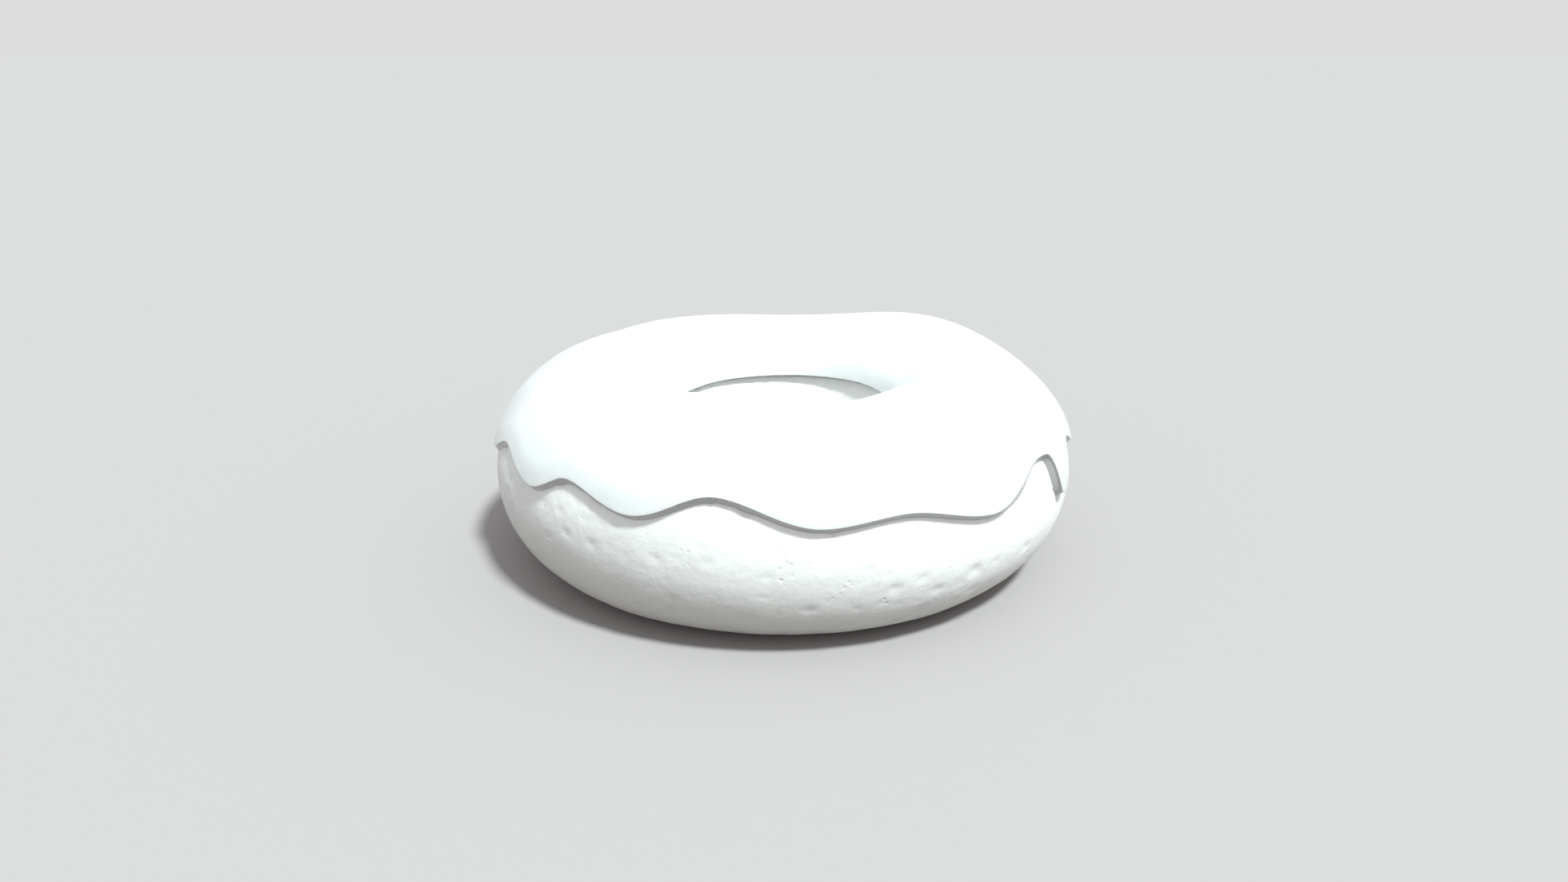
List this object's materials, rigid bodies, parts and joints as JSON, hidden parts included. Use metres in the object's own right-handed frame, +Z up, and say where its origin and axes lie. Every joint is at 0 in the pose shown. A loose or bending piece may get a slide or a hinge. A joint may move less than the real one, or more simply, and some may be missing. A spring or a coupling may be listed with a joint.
{
  "type": "ring doughnut",
  "caption": "Ring doughnut with a round centre hole and a coat of icing over its top, dripping in lobes down its outer side.",
  "frame": {"origin": "on the resting plane, under the middle of the doughnut's outline, inside its hole", "axes": "+Z up out of the hole, away from the resting flat; -Y towards the front, the side the picture shows; +X to the right seen from the front"},
  "size_m": [0.0966, 0.0942, 0.0337],
  "materials": {
    "dough": "matte",
    "icing": "satin"
  },
  "bodies": {
    "root": {"dough_ring": "dough", "icing": "icing"}
  },
  "joints": []
}
